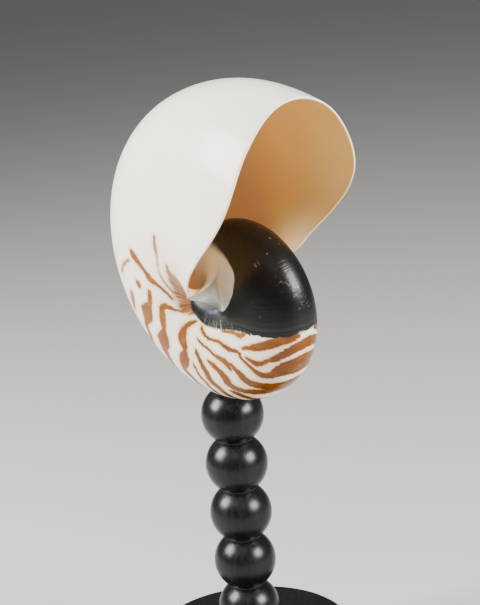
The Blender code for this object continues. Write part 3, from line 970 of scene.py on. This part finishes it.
def shell_finish():
    """Glossy cream with brown flames, a black film by the mouth and a pearly inside painted tan for the warm
    light through its wall.
    """
    f = Finish("shell")
    where = f.where()
    growth = f.mark("growth")
    place = f.mark("place")
    along = f.vector(f.math("MULTIPLY", growth, BROAD_LINES), f.math("MULTIPLY", place, 5.0), 0.0)
    fine_along = f.vector(f.math("MULTIPLY", growth, FINE_LINES), f.math("MULTIPLY", place, 7.0), 0.0)

    # Outside
    clouds = f.noise(where, CREAM_CLOUDS, 3.0)
    cream = f.colours(f.rise(clouds, 0.42, 0.72), CREAM, PALE_BLUSH)
    growth_lines = f.noise(fine_along, 1.0, 3.0, 0.6)
    cream = f.colours(f.span(growth_lines, 0.4, 0.8, 0.0, 0.10), cream, GROWTH_SHADE)
    fringe = f.noise(fine_along, 1.6, 2.0)
    ragged = f.noise(where, RAGGED_EDGE, 2.0)
    stripe = f.math("ADD", f.mark("stripe"), f.span(fringe, 0.3, 0.7, -0.5, 0.5))
    stripe = f.math("ADD", stripe, f.span(ragged, 0.3, 0.7, -0.25, 0.25))
    in_stripe = f.math("MULTIPLY", f.rise(stripe, -0.50, 0.15), f.mark("stripe_strength"))
    bleed = f.math("MULTIPLY", f.rise(stripe, -2.8, -0.3), f.mark("stripe_strength"))
    cream = f.colours(f.math("MULTIPLY", bleed, 0.75), cream, STRIPE_BLEED)
    mottle = f.noise(where, MOTTLE, 3.0)
    warm = f.colours(f.rise(mottle, 0.45, 0.75), ORANGE, AMBER)
    dark_share = f.math("ADD", f.mark("stripe_tone"), f.span(f.noise(along, 1.4, 3.0), 0.3, 0.7, -0.65, 0.30))
    flame = f.colours(dark_share, warm, UMBER)
    mauve_clouds = f.rise(f.noise(where, MAUVE_CLOUDS, 2.0), 0.35, 0.62)
    mauve_share = f.math("MULTIPLY", f.mark("stripe_blush"), mauve_clouds)
    mauve_share = f.math("MULTIPLY", mauve_share, f.rise(stripe, 0.3, 1.6))
    flame = f.colours(mauve_share, flame, MAUVE)
    outside = f.colours(in_stripe, cream, flame)
    streak_place = f.vector(f.math("MULTIPLY", growth, STREAK_LINES), f.math("MULTIPLY", place, 2.0), 0.0)
    streaks = f.noise(streak_place, 1.0, 4.0)
    smear = f.math("MULTIPLY", f.mark("navel"), f.span(streaks, 0.30, 0.60, 0.8, 2.6), clamp=True)
    smear_colour = f.colours(f.rise(streaks, 0.48, 0.62), NAVEL_TAN, NAVEL_BROWN)
    outside = f.colours(smear, outside, smear_colour)

    # Black film: hairlines along its edge, a comb of bristles below the callus, scratches and specks
    film_depth = f.mark("film")
    angle = f.mark("angle")
    along_edge = f.math("MULTIPLY", growth, BRISTLE_LINES)
    slanted = f.math("ADD", along_edge, f.math("MULTIPLY", film_depth, 0.8))
    bristles = f.noise(f.vector(slanted, f.math("MULTIPLY", film_depth, 0.12), 0.0), 1.0, 2.0)
    film_edge = f.math("ADD", film_depth, f.span(bristles, 0.35, 0.65, -0.7, 0.7))
    in_film = f.rise(film_edge, -0.25, 0.30)
    line_place = f.vector(f.math("MULTIPLY", film_depth, 2.8), f.math("MULTIPLY", growth, 14.0), 0.0)
    edge_lines = f.noise(line_place, 1.0, 3.0)
    near_edge = f.rise(film_depth, 10.0, 1.0)
    film = f.colours(f.rise(f.noise(where, FILM_CLOUDS, 3.0), 0.45, 0.75), FILM_BLACK, FILM_BROWN)
    film = f.colours(f.math("MULTIPLY", near_edge, f.rise(edge_lines, 0.42, 0.68)), film, FILM_GREY)
    comb_place = f.math("MULTIPLY", f.rise(angle, -278.0, -254.0), f.rise(angle, -188.0, -206.0))
    comb = f.math("MULTIPLY", comb_place, f.rise(film_depth, 5.0, 1.2))
    comb = f.math("MULTIPLY", comb, f.rise(bristles, 0.58, 0.66))
    film = f.colours(f.math("MULTIPLY", comb, 0.7), film, BRISTLE_PALE)
    squiggle = f.noise(where, SCRATCHES, 3.0, 0.6)
    scuff_clouds = f.noise(where, SCUFF_CLOUDS, 2.0)
    scratch_place = f.math("MULTIPLY", f.mark("scuffed"), f.rise(scuff_clouds, 0.40, 0.55))
    scratches = f.math("MULTIPLY", f.rise(squiggle, 0.56, 0.64), scratch_place)
    specks = f.rise(f.specks(where, SPECKS), 0.10, 0.04)
    speck_share = f.math("MULTIPLY", specks, f.rise(scuff_clouds, 0.60, 0.68))
    marks = f.math("MAXIMUM", f.math("MULTIPLY", scratches, 0.65), f.math("MULTIPLY", speck_share, 0.7))
    film = f.colours(marks, film, SPECK_PALE)

    # Bare pearl of the callus, veiled where the film thins out with a painted blue reflection, and a painted
    # ochre glow along its fold
    pearl_clouds = f.noise(where, PEARL_CLOUDS, 3.0)
    pearl = f.colours(f.rise(pearl_clouds, 0.4, 0.7), PEARL_WARM, PEARL_BEIGE)
    rib = f.mark("rib")
    # Painted shade on the plug side of the rib
    pearl = f.colours(f.rise(rib, 0.2, 2.5), pearl, PEARL_SHADE_GREY)
    rib_line = f.rise(f.math("ABSOLUTE", f.math("ADD", rib, -0.3)), 0.95, 0.45)
    rib_line = f.math("MULTIPLY", rib_line, f.rise(angle, -262.0, -275.0))
    pearl = f.colours(rib_line, pearl, RIB_CREAM)
    # Painted highlight: ochre glow along the fold
    pearl = f.colours(f.math("MULTIPLY", f.mark("glow"), 0.95), pearl, FOLD_GLOW_OCHRE)
    pearl_depth = f.math("ADD", f.mark("pearl"), f.span(pearl_clouds, 0.3, 0.7, -0.5, 0.5))
    in_pearl = f.math("DIVIDE", pearl_depth, f.mark("veil"), clamp=True)
    # Painted reflection: blue on the veil where the film thins
    pearl = f.colours(f.rise(in_pearl, 0.15, 0.95), VEIL_REFLECTION_BLUE, pearl)
    in_pearl = f.rise(in_pearl, 0.0, 0.6)

    # Chamber: tan painted for the warm light through its thin wall, darker deeper in as painted shade
    cloud = f.noise(where, CHAMBER_CLOUDS, 3.0)
    tan = f.colours(f.rise(cloud, 0.4, 0.7), CHAMBER_GLOW_TAN, CHAMBER_GLOW_PALE)
    tan = f.colours(f.math("MULTIPLY", f.mark("yellow"), 0.6), tan, CHAMBER_YELLOW)
    tan = f.colours(f.math("MULTIPLY", f.mark("pink"), 0.45), tan, CHAMBER_PINK)
    # Painted shade: darker deeper in the chamber
    tan = f.colours(f.rise(growth, 0.90, 0.78), tan, CHAMBER_DEEP_SHADE)
    in_chamber = f.rise(f.mark("chamber"), 0.15, 0.85)

    covered = f.colours(in_film, outside, film)
    covered = f.colours(in_pearl, covered, pearl)
    f.set("Base Color", f.colours(in_chamber, covered, tan))
    film_rough = f.span(edge_lines, 0.3, 0.7, 0.27, 0.40)
    film_rough = f.numbers(near_edge, film_rough, 0.36)
    rough = f.numbers(in_film, 0.24, film_rough)
    rough = f.numbers(in_pearl, rough, 0.30)
    f.set("Roughness", f.numbers(in_chamber, rough, 0.30))
    f.set("Specular IOR Level", 0.20)
    f.set("Coat Weight", 0.08)
    f.set("Coat Roughness", 0.12)
    ridges = f.bump(growth_lines, 0.00012, 0.5)
    film_ridges = f.math("MULTIPLY", f.math("MULTIPLY", in_film, edge_lines), near_edge)
    ridges = f.bump(film_ridges, 0.00025, 0.5, ridges)
    seam_place = f.vector(f.math("MULTIPLY", growth, SEAM_LINES), f.math("MULTIPLY", place, 3.0), 0.0)
    seams = f.math("MULTIPLY", in_film, f.noise(seam_place, 1.0, 3.0))
    seams = f.math("MULTIPLY", seams, f.rise(f.noise(where, SEAM_CLOUDS, 2.0), 0.42, 0.6))
    ridges = f.bump(seams, 0.0005, 0.5, ridges)
    ridges = f.bump(f.math("MULTIPLY", marks, in_film), 0.0001, 0.6, ridges)
    f.set("Normal", f.bump(f.noise(where, SKIN_GRAIN, 2.0), 0.00003, 0.5, ridges))
    return f.material


def turned_profile_base():
    """Outline of the base from its underside's middle to the socket's floor."""
    top = BASE_HEIGHT - BASE_ROUNDING
    edge = BASE_RADIUS - BASE_ROUNDING
    points = [(0.0, 0.0), (BASE_RADIUS - EDGE_EASE, 0.0)]
    points += arc(BASE_RADIUS - EDGE_EASE, EDGE_EASE, EDGE_EASE, -math.pi / 2, 0.0, 4)[1:]
    points += arc(edge, top, BASE_ROUNDING, 0.0, math.pi / 2, 10)
    points += [(PEG_RADIUS + GAP, BASE_HEIGHT), (PEG_RADIUS + GAP, BASE_HEIGHT - PEG_DEPTH)]
    return points + [(0.0, BASE_HEIGHT - PEG_DEPTH)]


def turned_profile_column():
    """Outline of the column from the end of its peg to the top bead's crown."""
    bottom = BASE_HEIGHT + GAP
    peg_end = BASE_HEIGHT - PEG_DEPTH + GAP
    neck_angle = math.acos(NECK_RADIUS / BEAD_RADIUS)
    points = [(0.0, peg_end), (PEG_RADIUS, peg_end), (PEG_RADIUS, bottom), (NECK_RADIUS, bottom)]
    for bead in range(BEADS):
        middle = bottom + BEAD_PITCH * (bead + 0.5)
        last = math.pi / 2 if bead == BEADS - 1 else neck_angle
        points += arc(0.0, middle, BEAD_RADIUS, -neck_angle, last, BEAD_ARC_STEPS)
    points[-1] = (0.0, points[-1][1])
    return points


def arc(radius_at, height_at, size, first, last, steps):
    """Points of a round arc, its angles measured up from level."""
    return [
        (
            radius_at + size * math.cos(first + (last - first) * k / steps),
            height_at + size * math.sin(first + (last - first) * k / steps),
        )
        for k in range(steps + 1)
    ]


def lathe_tree():
    """Geometry nodes that turn an outline in the XZ plane round Z."""
    tree = bpy.data.node_groups.new("lathe", "GeometryNodeTree")
    for name, kind in (("Outline", "Geometry"), ("Sides", "Int"), ("Finish", "Material")):
        tree.interface.new_socket(name, in_out="INPUT", socket_type="NodeSocket" + kind)
    tree.interface.new_socket("Turned", in_out="OUTPUT", socket_type="NodeSocketGeometry")

    def add(kind, given, **settings):
        node = tree.nodes.new(kind)
        for name, value in settings.items():
            setattr(node, name, value)
        for socket, value in given.items():
            if isinstance(value, bpy.types.NodeSocket):
                tree.links.new(value, node.inputs[socket])
            else:
                node.inputs[socket].default_value = value
        return node.outputs

    def number(operation, *values):
        return add("ShaderNodeMath", dict(enumerate(values)), operation=operation)[0]

    sizes = add("NodeGroupInput", {})
    count = add("GeometryNodeAttributeDomainSize", {0: sizes["Outline"]})
    around = number("ADD", sizes["Sides"], 1.0)
    grid = add("GeometryNodeMeshGrid", {"Vertices X": count["Point Count"], "Vertices Y": around})
    row = number("DIVIDE", add("GeometryNodeInputIndex", {})[0], around)
    whole_row = number("FLOOR", row)
    # A row has sides + 1 points, so its last lies on its first
    step = number("MULTIPLY", number("SUBTRACT", row, whole_row), around)
    turn = number("MULTIPLY", number("DIVIDE", step, sizes["Sides"]), TURN)
    place = add("GeometryNodeInputPosition", {})[0]
    wanted = {"Geometry": sizes["Outline"], "Value": place, "Index": whole_row}
    point = add("GeometryNodeSampleIndex", wanted, data_type="FLOAT_VECTOR", domain="POINT")["Value"]
    spin = add("ShaderNodeVectorRotate", {"Vector": point, "Angle": turn}, rotation_type="Z_AXIS")
    move = add("GeometryNodeSetPosition", {"Geometry": grid["Mesh"], "Position": spin[0]})
    merge = add("GeometryNodeMergeByDistance", {"Geometry": move[0], "Distance": METRE_TOUCH})
    smooth = add("GeometryNodeSetShadeSmooth", {"Geometry": merge[0]})
    real = add("GeometryNodeRealizeInstances", {"Geometry": smooth[0]})
    dress = add("GeometryNodeSetMaterial", {"Geometry": real[0], "Material": sizes["Finish"]})
    add("NodeGroupOutput", {0: dress[0]})
    return tree


def turned_piece(name, outline, sides, finish, tree):
    """A piece turned from an outline of (radius, height) points, bottom to top."""
    profile = bpy.data.meshes.new(name + "_outline")
    edges = [(k, k + 1) for k in range(len(outline) - 1)]
    profile.from_pydata([(radius, 0.0, height) for radius, height in outline], edges, [])
    maker = new_piece(name + "_outline", profile)
    modifier = maker.modifiers.new("lathe", "NODES")
    modifier.node_group = tree
    sockets = {item.name: item.identifier for item in tree.interface.items_tree if item.in_out == "INPUT"}
    modifier[sockets["Sides"]] = sides
    modifier[sockets["Finish"]] = finish
    graph = bpy.context.evaluated_depsgraph_get()
    made = bpy.data.meshes.new_from_object(maker.evaluated_get(graph))
    bpy.data.objects.remove(maker, do_unlink=True)
    made.name = name
    edit = bmesh.new()
    edit.from_mesh(made)
    bmesh.ops.remove_doubles(edit, verts=edit.verts, dist=METRE_TOUCH)
    bmesh.ops.dissolve_degenerate(edit, edges=edit.edges, dist=SHARE_TOUCH)
    bmesh.ops.recalc_face_normals(edit, faces=edit.faces)
    edit.to_mesh(made)
    edit.free()
    made.set_sharp_from_angle(angle=SHARP_EDGE)
    piece = new_piece(name, made)
    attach(piece, "root")
    return piece


def seat_on_bead(column, shell):
    """Press the top bead's crown down to the shell that rests in it."""
    tree = BVHTree.FromObject(shell, bpy.context.evaluated_depsgraph_get())
    floor = TOP_BEAD_HEIGHT
    for vert in column.data.vertices:
        if vert.co.z < floor:
            continue
        below = Vector((vert.co.x, vert.co.y, floor - BEAD_RADIUS))
        hit = tree.ray_cast(below, Vector((0.0, 0.0, 1.0)))[0]
        if hit is not None:
            vert.co.z = min(vert.co.z, hit.z - GAP)


BLACK_WOOD = (0.0035, 0.0035, 0.0040)
WORN_BLACK = (0.0090, 0.0085, 0.0085)
# Cells for each metre: pores across and along the grain, lathe rings, patches of wear
PORES_ACROSS = 500.0
PORES_ALONG = 35.0
LATHE_RINGS = 1400.0
WEAR_PATCHES = 60.0


def turned_black_finish(name):
    """Satin black wood with faint lathe rings, long pores and a little wear."""
    f = Finish(name)
    where = f.where()
    split = f.add("ShaderNodeSeparateXYZ")
    f.feed(split.inputs[0], where)
    x, y, z = split.outputs
    across = [f.math("MULTIPLY", distance, PORES_ACROSS) for distance in (x, y)]
    pores = f.noise(f.vector(*across, f.math("MULTIPLY", z, PORES_ALONG)), 1.0, 3.0, 0.6)
    rings = f.noise(f.vector(0.0, 0.0, f.math("MULTIPLY", z, LATHE_RINGS)), 1.0, 2.0)
    patches = f.noise(where, WEAR_PATCHES, 3.0)
    colour = f.colours(f.rise(pores, 0.45, 0.75), BLACK_WOOD, WORN_BLACK)
    f.set("Base Color", colour)
    rough = f.math("ADD", f.span(patches, 0.3, 0.7, 0.25, 0.31), f.span(pores, 0.3, 0.7, -0.02, 0.05))
    f.set("Roughness", rough)
    lines = f.bump(rings, 0.00003, 0.35)
    f.set("Normal", f.bump(pores, 0.00004, 0.35, lines))
    f.set("Specular IOR Level", 0.28)
    return f.material


def build_stand(shell):
    tree = lathe_tree()
    base = turned_piece("base_turning", turned_profile_base(), BASE_SIDES, turned_black_finish("base"), tree)
    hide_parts("base")
    outline = turned_profile_column()
    column = turned_piece("bead_column", outline, COLUMN_SIDES, turned_black_finish("column"), tree)
    seat_on_bead(column, shell)
    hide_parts("column")


def build_floor():
    mesh = bpy.data.meshes.new("floor")
    far = FLOOR_HALF_SIDE
    mesh.from_pydata([(-far, -far, 0), (far, -far, 0), (far, far, 0), (-far, far, 0)], [], [(0, 1, 2, 3)])
    floor = new_piece("floor", mesh)
    f = Finish("floor")
    f.set("Base Color", FLOOR_PALE)
    f.set("Roughness", FLOOR_ROUGHNESS)
    mesh.materials.append(f.material)


def softbox(name, azimuth, elevation, far, width, height, power, colour):
    """A soft light round the coil: azimuth from the front, positive to the right."""
    across = math.radians(azimuth)
    up = math.radians(elevation)
    way = Vector((math.sin(across) * math.cos(up), -math.cos(across) * math.cos(up), math.sin(up)))
    light = bpy.data.lights.new(name, "AREA")
    light.shape = "RECTANGLE"
    light.size = width
    light.size_y = height
    light.energy = power
    light.color = colour
    thing = bpy.data.objects.new(name, light)
    bpy.context.scene.collection.objects.link(thing)
    thing.location = COIL_CENTRE + way * far
    thing.rotation_euler = (-way).to_track_quat("-Z", "Y").to_euler()


def light_the_scene():
    softbox("left_softbox", -82.0, 31.0, 0.9, 0.42, 0.42, 29.0, WARM_LIGHT)
    softbox("right_softbox", 62.0, 22.0, 0.95, 0.46, 0.36, 25.0, COOL_LIGHT)
    softbox("front_softbox", -20.0, 48.0, 1.4, 1.3, 0.9, 4.0, WARM_LIGHT)
    world = bpy.data.worlds.new("room")
    bpy.context.scene.world = world
    world.use_nodes = True
    sky = world.node_tree.nodes["Background"]
    sky.inputs["Color"].default_value = ROOM_TINT
    sky.inputs["Strength"].default_value = ROOM_STRENGTH


def place_camera():
    right, up, forward = camera_axes()
    camera = bpy.data.objects.new("camera", bpy.data.cameras.new("camera"))
    bpy.context.scene.collection.objects.link(camera)
    turn = Matrix((right, up, -forward)).transposed().to_4x4()
    camera.matrix_world = Matrix.Translation(CAMERA_PLACE) @ turn
    camera.data.lens = CAMERA_LENS
    camera.data.sensor_fit = "AUTO"
    camera.data.sensor_width = SENSOR_WIDTH
    camera.data.clip_end = CAMERA_REACH
    bpy.context.scene.camera = camera


place_camera()
build_floor()
light_the_scene()
build_stand(build_shell())
